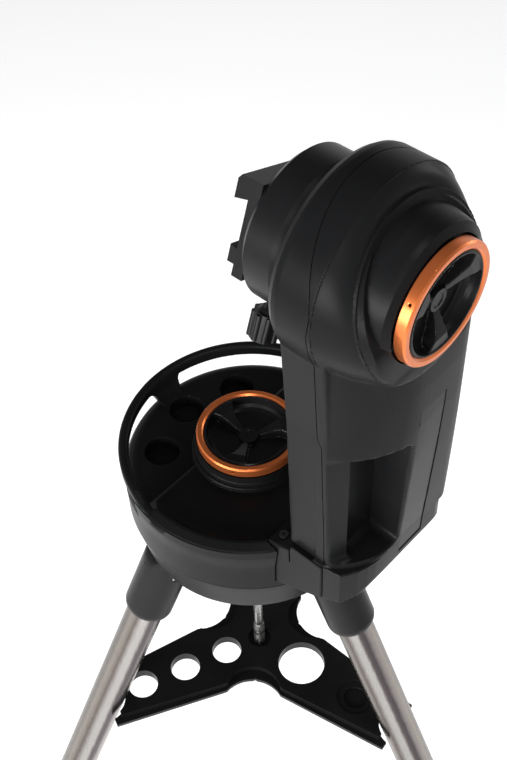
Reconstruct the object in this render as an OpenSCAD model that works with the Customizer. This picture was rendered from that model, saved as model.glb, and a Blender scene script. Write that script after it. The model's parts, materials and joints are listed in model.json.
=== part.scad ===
// Single-arm motorised telescope mount on a three-leg tripod.
// Origin: on the ground, on the azimuth axis. +Z up, the arm stands towards +X.

/* [Tripod] */
// Height of the tripod's top face above the ground with the legs pushed in
tripod_h = 838; // [800:1:900]
// Outward lean of each leg
leg_tilt = 22.83; // [15:0.01:30]
// Turn of the first leg away from the arm
leg_turn = 6; // [0:1:20]
// Outer radius of the upper leg tube
tube_r = 19.05; // [15:0.05:25]
// Outer radius of the lower leg tube
inner_r = 16; // [12:0.05:18]
// Distance from the leg axis to the azimuth axis at the tripod's top
leg_top_r = 81.8; // [70:0.1:100]
// Outer radius of the black collar at the top of each leg
collar_r = 25; // [22:0.5:30]

/* [Spreader tray] */
// Height of the spreader tray's upper face
spread_z = 587; // [560:1:620]
// Reach of each wing from the centre
spread_reach = 186; // [170:0.5:186]
// Radius of the small eyepiece holes
small_hole_r = 16.5; // [15:0.1:18]
// Radius of the large eyepiece hole
large_hole_r = 26; // [25:0.1:28]

/* [Base] */
// Radius of the fixed base at its lower edge
base_low_r = 110.4; // [100:0.1:120]
// Radius of the fixed base at its upper edge
base_top_r = 119.1; // [110:0.1:125]
// Height of the fixed base
base_h = 43.5; // [30:0.5:60]
// Radius of the turning drum at its rim
drum_r = 121.9; // [115:0.1:130]
// Height of the drum's rim above the tripod's top
rim_h = 105.2; // [90:0.1:120]
// Half angle of the carrying rail about the rear
rail_half = 74; // [50:1:75]

/* [Clutches] */
// Outer radius of each clutch ring
ring_r = 48.5; // [40:0.1:55]
// Inner radius of each clutch ring
ring_in = 41.5; // [35:0.1:47]
// Height of each clutch ring
ring_h = 9.6; // [6:0.1:15]

/* [Arm] */
// Height of the altitude axis above the tripod's top
alt_h = 417.4; // [350:0.1:450]
// Radius of the arm's round head
head_r = 83; // [70:0.5:95]
// Inner face of the arm, measured from the azimuth axis
arm_in = 100; // [90:0.5:110]
// Joint plane between the arm's two shells
arm_split = 138; // [120:0.5:150]

/* [Saddle] */
// Angle of the dovetail slot above the horizontal at rest
saddle_angle = 20.5; // [0:0.5:60]
// Width across the mouth of the dovetail slot
slot_w = 37.5; // [30:0.1:50]
// Length of the saddle along the slot
saddle_len = 100; // [60:1:140]

/* [Hidden] */
$fn = 96;
base_z = tripod_h;
base_top = base_z + base_h;
drum_low = base_top + 0.7;
rim_z = base_z + rim_h;
tray_z = rim_z + 4.1;
ring_top = base_z + 127.6;
alt_z = base_z + alt_h;
ring_face = 196.2;
leg_angles = [leg_turn, leg_turn + 120, leg_turn - 120];
pivot_s = 32.5;
pivot_r = leg_top_r + pivot_s * sin(leg_tilt);
pivot_z = base_z - pivot_s * cos(leg_tilt);
pin_r = 4;
tongue_w = 20;
fork_back = 14.5;
collar_end = 105;
tube_start = 62;
tube_end = 530;
clamp_start = 486;
clamp_end = 560;
knob_x = 52.6;
knob_y = 6;
screw_r = 2.4;
lock_s = 544;
inner_start = 96;
inner_end = 874;
foot_start = 846;
bolt_r = 5;
bolt_circle = 45;
rod_r = 4.75;
rod_thread_r = 6;
spread_t = 12;
shoulder_z = base_top + 35.5;
deck_z = rim_z - 13.2;
dish_z = rim_z - 3.2;
lip_r = 112.5;
well_r = 83;
well_angles = [180, 141, -141];
deck_under = deck_z - 3.5;
dish_under = dish_z - 3.5;
rail_low = rim_z + 0.3;
rail_top = rim_z + 12.8;
wheel_z = base_z + 76.5;
pocket_floor = 968;
skirt_z = 964;
strip_y = -3.5;
wheel_teeth = 60;

module ring_of(r_out, r_in, h) {
  difference() {
    cylinder(r = r_out, h = h);
    translate([0, 0, -1]) cylinder(r = r_in, h = h + 2);
  }
}

// Frame of one leg: its own +Z runs down the leg, its +X faces the tripod's centre
module on_leg(k, s) {
  rotate([0, 0, leg_angles[k]])
    translate([leg_top_r, 0, base_z])
      rotate([0, 180 - leg_tilt, 0])
        translate([0, 0, s])
          children();
}

module on_pivot(k) {
  rotate([0, 0, leg_angles[k]])
    translate([pivot_r, 0, pivot_z])
      rotate([90, 0, 0])
        children();
}

// Frame of the altitude axis: local +Z runs along +X, away from the telescope
module on_alt(x) {
  translate([x, 0, alt_z]) rotate([0, 90, 0]) children();
}

// ---- tripod ----

module tripod_head() {
  color("#2b2b2c")
    difference() {
      union() {
        translate([0, 0, base_z - 40]) cylinder(r = 62, h = 39.7);
        for (k = [0:2]) {
          on_pivot(k) translate([0, 0, -tongue_w / 2]) cylinder(r = 13, h = tongue_w);
          rotate([0, 0, leg_angles[k]])
            translate([40, -tongue_w / 2, pivot_z - 13])
              cube([pivot_r - 40, tongue_w, 26]);
        }
      }
      translate([0, 0, base_z - 41]) cylinder(r = rod_r + 0.05, h = 42);
      translate([0, 0, base_z - 12]) cylinder(r = 8.05, h = 13);
      for (a = [60:120:300])
        rotate([0, 0, leg_turn + a]) {
          translate([bolt_circle, 0, base_z - 41]) cylinder(r = bolt_r + 0.5, h = 42);
          translate([bolt_circle, 0, base_z - 41]) cylinder(r = 14, h = 27);
        }
      for (k = [0:2]) on_pivot(k) translate([0, 0, -30]) cylinder(r = pin_r + 0.04, h = 60);
    }
}

module centring_pin() {
  color("silver")
    union() {
      translate([0, 0, base_z - 12]) cylinder(r = 8, h = 18);
      translate([0, 0, base_z + 6]) cylinder(r1 = 8, r2 = 6, h = 2);
    }
}

module hinge_pins() {
  color("silver")
    for (k = [0:2]) on_pivot(k) translate([0, 0, -24]) cylinder(r = pin_r, h = 48);
}

module captive_bolt(a) {
  color("silver")
    rotate([0, 0, leg_turn + a])
      translate([bolt_circle, 0, 0])
        union() {
          translate([0, 0, base_z - 20]) cylinder(r = bolt_r, h = 32);
          difference() {
            translate([0, 0, base_z - 36]) cylinder(r = 12.5, h = 16);
            for (t = [0:30:330])
              rotate([0, 0, t]) translate([13.2, 0, base_z - 37]) cylinder(r = 1.8, h = 18, $fn = 24);
          }
        }
}

module centre_rod() {
  color("silver")
    union() {
      translate([0, 0, 618]) cylinder(r = rod_r, h = base_z - 12.5 - 618);
      translate([0, 0, 536]) cylinder(r = rod_thread_r - 0.9, h = 82.5);
      for (z = [538:2.5:615.5])
        translate([0, 0, z]) cylinder(r = rod_thread_r, h = 1.25, $fn = 48);
      translate([0, 0, 534]) cylinder(r1 = 4, r2 = rod_thread_r - 0.9, h = 2);
    }
}

module leg_collar(k) {
  color("#29292a")
    difference() {
      union() {
        on_leg(k, pivot_s) cylinder(r = collar_r, h = collar_end - pivot_s - 6);
        on_leg(k, collar_end - 6) cylinder(r1 = collar_r, r2 = collar_r - 4.5, h = 6);
        intersection() {
          on_pivot(k) translate([0, 0, -collar_r]) cylinder(r = 20, h = 2 * collar_r);
          on_leg(k, pivot_s - 26) cylinder(r = collar_r, h = 60);
        }
      }
      on_leg(k, pivot_s - 40)
        translate([-fork_back, -tongue_w / 2 - 0.4, 0])
          cube([54.5, tongue_w + 0.8, 63]);
      on_leg(k, tube_start) cylinder(r = tube_r + 0.03, h = 60);
      on_pivot(k) translate([0, 0, -30]) cylinder(r = pin_r + 0.05, h = 60);
    }
}

module leg_tube(k) {
  color("#c9c9c6")
    on_leg(k, tube_start + 0.1)
      difference() {
        cylinder(r = tube_r, h = tube_end - tube_start);
        translate([0, 0, -1]) cylinder(r = tube_r - 1.5, h = tube_end - tube_start + 2);
      }
}

module leg_clamp(k) {
  color("#29292a")
    on_leg(k, 0)
      rotate([0, 0, 180])
        difference() {
          union() {
            translate([0, 0, clamp_start]) cylinder(r = 24, h = clamp_end - clamp_start);
            translate([14, -9, lock_s - 12]) cube([20, 18, 24]);
          }
          translate([0, 0, clamp_start - 1]) cylinder(r = tube_r + 0.03, h = tube_end - clamp_start + 1.3);
          translate([0, 0, tube_end]) cylinder(r = inner_r + 0.05, h = 40);
          translate([10, 0, lock_s]) rotate([0, 90, 0]) cylinder(r = 4.05, h = 30);
        }
}

module leg_lock(k) {
  color("#1d1d1e")
    on_leg(k, lock_s)
      rotate([0, -90, 0])
        union() {
          translate([0, 0, inner_r + 0.4]) cylinder(r = 4, h = 35 - inner_r);
          translate([0, 0, 34.4]) cylinder(r = 10, h = 8);
          for (t = [0, 120, 240])
            rotate([0, 0, t]) translate([9.5, 0, 34.4]) cylinder(r = 4.2, h = 8, $fn = 32);
        }
}

module leg_inner(k) {
  color("#b9bab8")
    on_leg(k, inner_start)
      difference() {
        cylinder(r = inner_r, h = inner_end - inner_start);
        translate([0, 0, -1]) cylinder(r = inner_r - 1.5, h = inner_end - inner_start + 2);
      }
}

module leg_foot(k) {
  color("#1a1a1b")
    difference() {
      union() {
        on_leg(k, foot_start) cylinder(r1 = inner_r + 1.6, r2 = inner_r + 3.4, h = 30);
        on_leg(k, foot_start + 30) cylinder(r1 = inner_r + 3.4, r2 = inner_r + 5, h = 46);
      }
      on_leg(k, foot_start - 1) cylinder(r = inner_r + 0.02, h = inner_end - foot_start + 1.2);
      translate([-600, -600, -80]) cube([1200, 1200, 80]);
    }
}

module spreader_tray() {
  color("#262627")
    difference() {
      union() {
        // upper plate
        difference() {
          translate([0, 0, spread_z - spread_t + 4]) linear_extrude(height = spread_t - 4) wings(38.5, 25, 178);
          between_wings(70, 31);
        }
        // wider flange below it, whose horns hold the legs
        difference() {
          translate([0, 0, spread_z - spread_t]) linear_extrude(height = 5) wings(43, 31, spread_reach);
          between_wings(87, 36);
        }
      }
      // hollows that sit against the legs
      for (a = leg_angles)
        rotate([0, 0, a])
          translate([spread_reach + 2.6, 0, spread_z - spread_t - 1]) cylinder(r = 22.6, h = spread_t + 2);
      translate([0, 0, spread_z - spread_t - 1]) cylinder(r = rod_thread_r + 0.4, h = 30);
      translate([0, 0, spread_z - 6]) cylinder(r = 13, h = 10);
      rotate([0, 0, leg_angles[1]])
        for (r = [92, 143])
          translate([r, 0, spread_z - spread_t - 1]) cylinder(r = small_hole_r, h = spread_t + 2);
      rotate([0, 0, leg_angles[2]])
        for (r = [41, 92, 143])
          translate([r, 0, spread_z - spread_t - 1]) cylinder(r = small_hole_r, h = spread_t + 2);
      rotate([0, 0, leg_angles[0]]) {
        translate([58.5, 0, spread_z - spread_t - 1]) cylinder(r = large_hole_r, h = spread_t + 2);
        translate([131, 0, spread_z - 2]) cylinder(r = 21, h = 6);
        translate([131, 0, spread_z - 5]) cylinder(r = 13, h = 6);
      }
    }
}

// Plan of the three wings: half widths near the hub and at the tip
module wings(root_half, tip_half, reach) {
  for (a = leg_angles)
    rotate(a)
      polygon([
        [-12, -root_half], [61, -root_half], [reach, -tip_half],
        [reach, tip_half], [61, root_half], [-12, root_half]
      ]);
}

// Round cuts between neighbouring wings
module between_wings(r_centre, r_cut) {
  for (a = leg_angles)
    rotate([0, 0, a + 60])
      translate([r_centre, 0, spread_z - spread_t - 1]) cylinder(r = r_cut, h = spread_t + 2);
}

module tray_knob() {
  color("#1c1c1d")
    difference() {
      union() {
        translate([0, 0, spread_z - spread_t - 20.2]) cylinder(r = 18, h = 20);
        for (t = [0:60:300])
          rotate([0, 0, t]) translate([16.5, 0, spread_z - spread_t - 20.2]) cylinder(r = 5, h = 14);
      }
      translate([0, 0, spread_z - spread_t - 21]) cylinder(r = rod_thread_r + 0.06, h = 30);
    }
}

// ---- fixed base ----

module base_shell() {
  color("#2c2c2d")
    union() {
      difference() {
        translate([0, 0, base_z]) cylinder(r1 = base_low_r, r2 = base_top_r, h = base_h);
        translate([0, 0, base_z + 8]) cylinder(r1 = base_low_r - 4, r2 = base_top_r - 4, h = base_h);
        translate([0, 0, base_z - 1]) cylinder(r = 8.06, h = 10);
        for (a = [60:120:300])
          rotate([0, 0, leg_turn + a])
            translate([bolt_circle, 0, base_z - 1]) cylinder(r = bolt_r + 0.05, h = 10);
      }
      // raised seat of the azimuth bearing
      translate([0, 0, base_z + 7.9]) ring_of(66, 52, 22.1);
    }
}

module azimuth_spindle() {
  color("silver")
    union() {
      translate([0, 0, base_z + 8.05]) cylinder(r = 36, h = 8);
      translate([0, 0, base_z + 16]) cylinder(r = 12.5, h = 89);
      translate([0, 0, base_z + 105]) cylinder(r = 8, h = 13);
    }
}

module azimuth_bearing() {
  color("#a9a9a6")
    translate([0, 0, base_z + 30.05])
      union() {
        ring_of(64, 52, 12);
        for (t = [0:20:340])
          rotate([0, 0, t]) translate([58, 0, 14.6]) sphere(r = 3.2, $fn = 32);
        ring_of(64, 61.6, 15.5);
        ring_of(54.4, 52, 15.5);
      }
}

// ---- drum and tray, turning about the azimuth axis ----

module arm_keepout(z0, h) {
  translate([86.7, -72.3, z0]) cube([60, 144.6, h]);
}

module drum_housing() {
  color("#2d2d2e")
    difference() {
      union() {
        // lower band, all the way round
        translate([0, 0, drum_low])
          rotate_extrude()
            polygon([[115.4, 0], [119.1, 0], [119.5, shoulder_z - drum_low], [115.8, shoulder_z - drum_low]]);
        // floor with the sleeve that runs on the spindle
        translate([0, 0, drum_low + 4]) ring_of(115.5, 15, 4);
        translate([0, 0, drum_low + 4]) ring_of(20, 12.55, 26);
        // full-height front wall
        rotate([0, 0, rail_half - 180])
          rotate_extrude(angle = 360 - 2 * rail_half)
            polygon([
              [115.8, shoulder_z - 4], [119.4, shoulder_z - 4], [drum_r - 0.8, rim_z - 12],
              [drum_r - 0.8, rim_z - 10], [drum_r, rim_z - 9.4], [drum_r, rim_z - 1],
              [drum_r - 1.4, rim_z], [117.5, rim_z], [117.5, rim_z - 8]
            ]);
        // walls that close the ends of the hand openings
        for (s = [-1, 1])
          rotate([0, 0, s * (180 - rail_half)])
            translate([100, s > 0 ? -3 : 0, drum_low + 6])
              union() {
                cube([12.2, 3, deck_under - 0.1 - drum_low - 6]);
                translate([12.1, 0, 0]) cube([6.4, 3, rim_z - 7.6 - drum_low - 6]);
              }
        // bearing blocks for the azimuth worm
        for (x = [-26, 18])
          translate([x, -72, drum_low + 6]) cube([5, 23, wheel_z + 13 - drum_low - 6]);
      }
      translate([-30, -60.2, wheel_z + 3.5]) rotate([0, 90, 0]) cylinder(r = 3.05, h = 60, $fn = 48);
      difference() {
        arm_keepout(drum_low + 9, 120);
        cylinder(r = 86.9, h = 2000);
      }
      // opening for the port panel
      rotate([0, 0, 68]) translate([108, -27.3, base_top + 12.7]) cube([20, 54.6, 22.6]);
    }
}

module accessory_tray() {
  color("#2a2a2b")
    difference() {
      union() {
        // dish on either side of the arm, with its lip and sloping rim
        for (s = [0, 1])
          rotate([0, 0, s == 0 ? rail_half - 180 : 37.3])
            rotate_extrude(angle = 142.7 - rail_half)
              polygon([
                [40, dish_under], [112, dish_under], [112, rim_z + 0.1], [drum_r - 2.4, rim_z + 0.1],
                [lip_r, tray_z], [109.5, tray_z], [104, dish_z], [40, dish_z]
              ]);
        rotate([0, 0, -37.4])
          rotate_extrude(angle = 74.8)
            polygon([[40, dish_under], [86.4, dish_under], [86.4, dish_z], [40, dish_z]]);
        // ramp from the dish down to the rear deck
        intersection() {
          slab_y(-110, 110)
            polygon([
              [-60, deck_under], [-60, deck_z], [-36, deck_z], [-22, dish_z], [-5, dish_z],
              [-5, dish_under], [-20, dish_under], [-33, deck_under]
            ]);
          cylinder(r = 107.9, h = 1200);
        }
        // rear deck, rounded down to the drum
        difference() {
          rotate([0, 0, 180.2 - rail_half])
            rotate_extrude(angle = 2 * rail_half - 0.4)
              polygon([
                [40, deck_under], [40, deck_z], [107, deck_z], [111.5, deck_z - 1.2], [115.2, deck_z - 4],
                [117.9, deck_z - 7.6], [119.2, shoulder_z + 0.1], [116, shoulder_z + 0.1],
                [114.4, deck_z - 7.6], [110.6, deck_z - 4.4], [106.5, deck_under]
              ]);
          intersection() {
            cylinder(r = 107.8, h = 1200);
            translate([-35.9, -120, 0]) cube([100, 240, 1200]);
          }
        }
        // pedestal under the clutch
        translate([0, 0, deck_under]) cylinder(r = 53.5, h = 8);
        translate([0, 0, dish_under]) cylinder(r1 = 52.2, r2 = 49.6, h = ring_top - ring_h - 0.4 - dish_under);
        // cups under the eyepiece holes
        for (a = well_angles)
          rotate([0, 0, a]) translate([well_r, 0, deck_z - 18.5]) cylinder(r = small_hole_r + 2, h = 17);
      }
      translate([0, 0, deck_under - 1]) cylinder(r = 13.2, h = 40);
      translate([0, 0, dish_z - 0.4]) cylinder(r = 43, h = 30);
      arm_keepout(rim_z - 20, 40);
      for (a = well_angles)
        rotate([0, 0, a]) translate([well_r, 0, deck_z - 16.5]) cylinder(r = small_hole_r + 0.2, h = 20);
    }
}

module handle_rail() {
  color("#242425")
    union() {
      rail_arc(rail_half - 0.3, rim_z + 6);
      rail_arc(rail_half - 3.5, rim_z + 9.5);
      rail_arc(rail_half - 8, rail_top);
      // post from the rear deck up to the rail
      rotate([0, 0, 180 - 7])
        rotate_extrude(angle = 14)
          polygon([
            [101, deck_z + 0.1], [106.8, deck_z + 0.1], [119, rim_z + 0.9], [119, rim_z + 8], [113, rim_z + 8]
          ]);
    }
}

// One stretch of the rail, centred on the rear
module rail_arc(half, top) {
  rotate([0, 0, 180 - half])
    rotate_extrude(angle = 2 * half)
      polygon([
        [112.4, rail_low + 2], [114.4, rail_low], [119.5, rail_low], [drum_r - 0.1, rail_low + 2],
        [drum_r - 0.1, top - 3], [119.4, top], [115.6, top], [112.4, top - 3]
      ]);
}

module port_panel() {
  color("#1b1b1c")
    rotate([0, 0, 68])
      difference() {
        union() {
          translate([112.2, -27, base_top + 13]) cube([2.6, 54, 22]);
          translate([114.7, -27, base_top + 13]) cube([2.5, 54, 22]);
        }
        for (y = [-15, 1])
          translate([110, y, base_top + 18]) cube([10, 11.5, 9]);
        translate([110, -21, base_top + 24]) rotate([0, 90, 0]) cylinder(r = 3.2, h = 10, $fn = 32);
        translate([110, 20, base_top + 24]) rotate([0, 90, 0]) cylinder(r = 4.3, h = 10, $fn = 48);
      }
}

module port_sockets() {
  color("#0f0f10")
    rotate([0, 0, 68])
      union() {
        for (y = [-15, 1])
          difference() {
            translate([103, y + 0.2, base_top + 18.2]) cube([9, 11.1, 8.6]);
            translate([105, y + 1.4, base_top + 19.4]) cube([9, 8.7, 6.2]);
          }
        difference() {
          translate([103, -21, base_top + 24]) rotate([0, 90, 0]) cylinder(r = 4.4, h = 9, $fn = 32);
          translate([105, -21, base_top + 24]) rotate([0, 90, 0]) cylinder(r = 3, h = 9, $fn = 32);
        }
      }
}

module power_button() {
  color("#b8542a")
    rotate([0, 0, 68])
      translate([111.5, 20, base_top + 24])
        rotate([0, 90, 0])
          union() {
            cylinder(r = 4.2, h = 7.4, $fn = 48);
            translate([0, 0, -3]) cylinder(r = 5.6, h = 3, $fn = 48);
          }
}

module battery_box() {
  color("#232324")
    translate([-81, -36, drum_low + 8.2])
      difference() {
        cube([60, 72, 21]);
        translate([2, 2, 2]) cube([56, 68, 30]);
      }
}

module battery_cells() {
  color("#3b5c86")
    for (k = [0:2])
      translate([-69.6 + k * 18.6, -33, drum_low + 19.4])
        rotate([-90, 0, 0])
          union() {
            cylinder(r = 9.1, h = 64, $fn = 48);
            cylinder(r = 3, h = 65.4, $fn = 24);
          }
}

module control_board() {
  color("#1f5a35")
    union() {
      translate([-15, 45, drum_low + 14.2]) cube([70, 42, 1.6]);
      translate([-5, 52, drum_low + 15.7]) cube([14, 14, 2]);
      translate([22, 56, drum_low + 15.7]) cube([10, 18, 3]);
      for (x = [-11, 51])
        for (y = [49, 83])
          translate([x, y, drum_low + 8.05]) cylinder(r = 2.4, h = 6.3, $fn = 24);
    }
}

module azimuth_motor() {
  color("#7d7e7e")
    union() {
      translate([30.9, -60.2, wheel_z + 3.5]) rotate([0, 90, 0]) cylinder(r = 12, h = 32);
      translate([28, -74.2, drum_low + 8.05]) cube([3, 28, 40]);
      translate([26.3, -60.2, wheel_z + 3.5]) rotate([0, 90, 0]) cylinder(r = 2.5, h = 5, $fn = 32);
    }
}

// A spur-like wheel with straight teeth
module toothed(r, n, h, bore) {
  difference() {
    union() {
      cylinder(r = r - 1.6, h = h);
      for (t = [0:n - 1])
        rotate([0, 0, t * 360 / n])
          translate([r - 2.4, 0, 0])
            linear_extrude(height = h)
              polygon([[0, -1.25], [2.4, -0.62], [2.4, 0.62], [0, 1.25]]);
    }
    translate([0, 0, -1]) cylinder(r = bore, h = h + 2);
  }
}

module azimuth_wheel() {
  color("#b08a3e")
    translate([0, 0, wheel_z]) toothed(52, wheel_teeth, 7, 12.55);
}

module azimuth_worm() {
  color("silver")
    translate([-26, -60.2, wheel_z + 3.5])
      rotate([0, 90, 0])
        union() {
          cylinder(r = 3, h = 52, $fn = 48);
          translate([0, 0, 11]) cylinder(r = 7.6, h = 26, $fn = 48);
        }
}

module azimuth_clutch_ring() {
  color("#c8642c")
    translate([0, 0, ring_top - ring_h])
      difference() {
        union() {
          cylinder(r1 = ring_r - 1, r2 = ring_r, h = 1);
          translate([0, 0, 1]) cylinder(r = ring_r, h = ring_h - 2);
          translate([0, 0, ring_h - 1]) cylinder(r1 = ring_r, r2 = ring_r - 1, h = 1);
        }
        translate([0, 0, -1]) cylinder(r = ring_in, h = ring_h + 2);
        rotate([0, 0, -45]) translate([40, 0, 4.8]) rotate([0, 90, 0]) cylinder(r = 1.5, h = 10, $fn = 24);
      }
}

// Recessed cup with three curved grips, drawn with its rim at height 0
module clutch_cup(skirt) {
  difference() {
    union() {
      translate([0, 0, -skirt]) cylinder(r = ring_in - 0.03, h = skirt - 1.2);
      for (t = [0:120:240])
        rotate([0, 0, t])
          intersection() {
            translate([0, 0, -13]) cylinder(r = 40, h = 11.5);
            difference() {
              translate([20, 17, -13]) cylinder(r = 26, h = 11.5);
              translate([20, 17, -14]) cylinder(r = 18.5, h = 14);
            }
            translate([0, -24, -14]) cube([42, 30, 14]);
          }
    }
    difference() {
      translate([0, 0, -11.5]) cylinder(r1 = 33, r2 = 38.5, h = 12);
      for (t = [0:120:240])
        rotate([0, 0, t])
          intersection() {
            translate([0, 0, -13]) cylinder(r = 40, h = 10);
            difference() {
              translate([20, 17, -13]) cylinder(r = 26, h = 10);
              translate([20, 17, -14]) cylinder(r = 18.5, h = 14);
            }
            translate([0, -24, -14]) cube([42, 30, 14]);
          }
      translate([0, 0, -13]) cylinder(r = 11, h = 9);
    }
    translate([0, 0, -10]) cylinder(r = 6.5, h = 12);
  }
}

module azimuth_clutch_knob() {
  color("#1e1e1f")
    difference() {
      translate([0, 0, ring_top]) clutch_cup(20);
      translate([0, 0, base_z + 90]) cylinder(r = 8.05, h = 28.4);
    }
}

// ---- arm ----

// Turns a Y-Z drawing centred on the altitude axis into a slab along X
module slab_x(x0, x1) {
  translate([x0, 0, alt_z])
    rotate([90, 0, 90])
      linear_extrude(height = x1 - x0)
        children();
}

module slab_y(y0, y1) {
  translate([0, y1, 0])
    rotate([90, 0, 0])
      linear_extrude(height = y1 - y0)
        children();
}

module arm_foot() {
  color("#2b2b2c")
    difference() {
      intersection() {
        slab_y(-71, 71)
          polygon([
            [87, base_top + 9.8], [97, base_top + 9.8], [147, 914.5], [147, 962], [113, 962], [100, 950.5], [87, 949]
          ]);
        translate([0, 0, 800])
          linear_extrude(height = 200)
            polygon([[87, -71], [147, -71], [147, 71], [87, 71]]);
      }
      slab_y(-67, 67)
        polygon([
          [90.5, base_top + 12], [97, base_top + 12], [143.6, 917.5], [143.6, 957.5], [114, 957.5], [102, 946.5], [90.5, 945.4]
        ]);
      translate([108, -40, 950]) cube([22, 80, 20]);
      for (s = [-1, 1])
        translate([95, s * 59, 930]) cylinder(r = 2.1, h = 40, $fn = 24);
      for (s = [-1, 1])
        translate([101.5, s * 71 - 2, 938]) cube([1.2, 4, 30]);
    }
}

module foot_screws() {
  color("#3a3a3b")
    for (s = [-1, 1])
      translate([95, s * 59, 0])
        difference() {
          union() {
            translate([0, 0, 936]) cylinder(r = 2, h = 14, $fn = 24);
            translate([0, 0, 950.4]) cylinder(r = 4, h = 2, $fn = 32);
            translate([0, 0, 949.9]) cylinder(r = 2, h = 1, $fn = 24);
          }
          translate([0, 0, 951.2]) cylinder(r = 1.7, h = 3, $fn = 6);
        }
}

module arm_inner_shell() {
  color("#2e2e2f")
    union() {
      inner_shell_body();
      worm_blocks();
    }
}

// Lean of the arm's inner face: the lower shaft steps back from the tray
module inner_lean(wall) {
  slab_y(-100, 100)
    polygon([
      [arm_in + wall, 1400], [arm_in + wall, 1130 + wall], [109 + wall, 1095 + wall], [113 + wall, 950],
      [arm_split + 2, 950], [arm_split + 2, 1400]
    ]);
}

// Tapered shaft of the inner shell, from the foot up into the round head
module inner_shaft(wall) {
  intersection() {
    translate([0, 0, 962.3 - wall])
      linear_extrude(height = alt_z - 20 - 962.3 + wall)
        polygon([
          [arm_in, -52 + wall], [125, -64 + wall], [arm_split + wall, -75 + wall],
          [arm_split + wall, 75 - wall], [125, 64 - wall], [arm_in, 52 - wall]
        ]);
    slab_x(arm_in, arm_split + wall)
      polygon([
        [-76 + wall, 0], [-69 + wall, 1130 - alt_z], [-66 + wall, 1000 - alt_z], [-65 + wall, 950 - alt_z],
        [65 - wall, 950 - alt_z], [66 - wall, 1000 - alt_z], [69 - wall, 1130 - alt_z], [76 - wall, 0]
      ]);
    inner_lean(wall);
  }
}

module inner_shell_body() {
  difference() {
    union() {
      slab_x(arm_in + 7, arm_split) circle(r = head_r);
      slab_x(arm_in, arm_in + 7.1) circle(r = 73);
      intersection() {
        inner_shaft(0);
        slab_x(arm_in, arm_split) square([200, 800], center = true);
      }
    }
    slab_x(arm_in + 3.5, arm_split + 1) circle(r = 69);
    slab_x(arm_in + 10.5, arm_split + 1) circle(r = head_r - 3.5);
    inner_shaft(3.5);
    on_alt(arm_in - 5) cylinder(r = 34.1, h = 20);
    translate([116, -40, 950]) cube([20, 80, 13]);
  }
}

// Bearing blocks for the altitude worm
module worm_blocks() {
  difference() {
    for (y = [-26, 15])
      translate([arm_in + 3, y, alt_z - 74]) cube([33.6, 5, 20.5]);
    translate([arm_in + 28, -30, alt_z - 60.2]) rotate([-90, 0, 0]) cylinder(r = 3.05, h = 60, $fn = 48);
  }
}

module shell_profile() {
  polygon([
    [arm_split + 0.3, 962.3], [147.3, 962.3], [147.3, 915], [166, 922], [175, 929], [178.5, 940],
    [179, 966], [181, 1000], [184, 1060], [187, 1120], [188, 1165], [187, 1190], [168, 1255], [arm_split + 0.3, 1345]
  ]);
}

module shell_plan() {
  polygon([
    [130, -90], [140, -82], [150, -70], [160, -61], [169, -51], [177, -37], [184, -19], [188, 0],
    [188, 40], [185, 53], [178, 62], [167, 68], [150, 74], [130, 78]
  ]);
}

// Plan of the low skirt below the pocket, with its sharp front corner
module skirt_plan() {
  polygon([
    [130, -80], [163, -74], [165.5, -66.5], [173, -55], [177.5, -38], [180, -15],
    [180, 45], [176, 58], [168, 67], [150, 74], [130, 78]
  ]);
}

module arm_outer_shell() {
  color("#2d2d2e")
    difference() {
      union() {
        intersection() {
          slab_y(-100, 100) shell_profile();
          union() {
            translate([0, 0, skirt_z - 0.1]) linear_extrude(height = 460) shell_plan();
            translate([0, 0, 900]) linear_extrude(height = skirt_z - 900) skirt_plan();
          }
          slab_x(arm_split, 200)
            union() {
              polygon([
                [-76, 0], [-69, 1130 - alt_z], [-66, 1000 - alt_z], [-66, 966 - alt_z], [-70, 964 - alt_z],
                [-70, 912 - alt_z], [70, 912 - alt_z], [70, 964 - alt_z], [66, 966 - alt_z],
                [66, 1000 - alt_z], [69, 1130 - alt_z], [76, 0]
              ]);
              circle(r = head_r);
            }
        }
        intersection() {
          on_alt(arm_split + 0.3)
            rotate_extrude()
              polygon([[0, 0], [head_r, 0], [head_r - 0.5, 4], [head_r - 2.5, 9], [head_r - 6, 15], [head_r - 11, 22], [head_r - 17, 28], [0, 28]]);
          slab_y(-100, 100) shell_profile();
        }
        on_alt(150) cylinder(r1 = 61, r2 = 57, h = 33);
        on_alt(182.9) cylinder(r1 = 57, r2 = 51.5, h = 3.1);
      }
      // clutch recess and shaft passage
      on_alt(177.5) cylinder(r = 50, h = 20);
      on_alt(arm_split - 1) cylinder(r = 20.1, h = 60);
      // room for the drive
      intersection() {
        on_alt(arm_split - 1) cylinder(r = 54, h = 40.6);
        translate([0, 0, 1100]) translate([130, -90, 0]) cube([45.5, 180, 260]);
      }
      slab_x(arm_split - 1, 146)
        union() {
          circle(r = head_r - 4);
          polygon([[-64, -20], [-60, 975 - alt_z], [60, 975 - alt_z], [64, -20]]);
        }
      translate([150.5, -63, 919]) cube([20, 118, 44]);
      translate([145, -36, 1128]) cube([32, 84, 47]);
      translate([145, 10, 966]) cube([27, 42, 140]);
      // pocket for the hand controller, under a lip that rises towards the corner
      intersection() {
        translate([0, 0, pocket_floor])
          linear_extrude(height = 160)
            polygon([[149, -8], [149, -43], [157, -50], [150, -67], [150, -95], [205, -95], [205, -8]]);
        slab_x(140, 210)
          polygon([[-100, 950 - alt_z], [-100, 1134 - alt_z], [0, 1094 - alt_z], [0, 950 - alt_z]]);
      }
      // shallow channel for the trim strip
      translate([174.2, strip_y, 936]) rotate([0, 2.6, 0]) cube([20, 32, 202]);
      translate([164, 56, 943]) cube([30, 30, 4]);
    }
}

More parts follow.
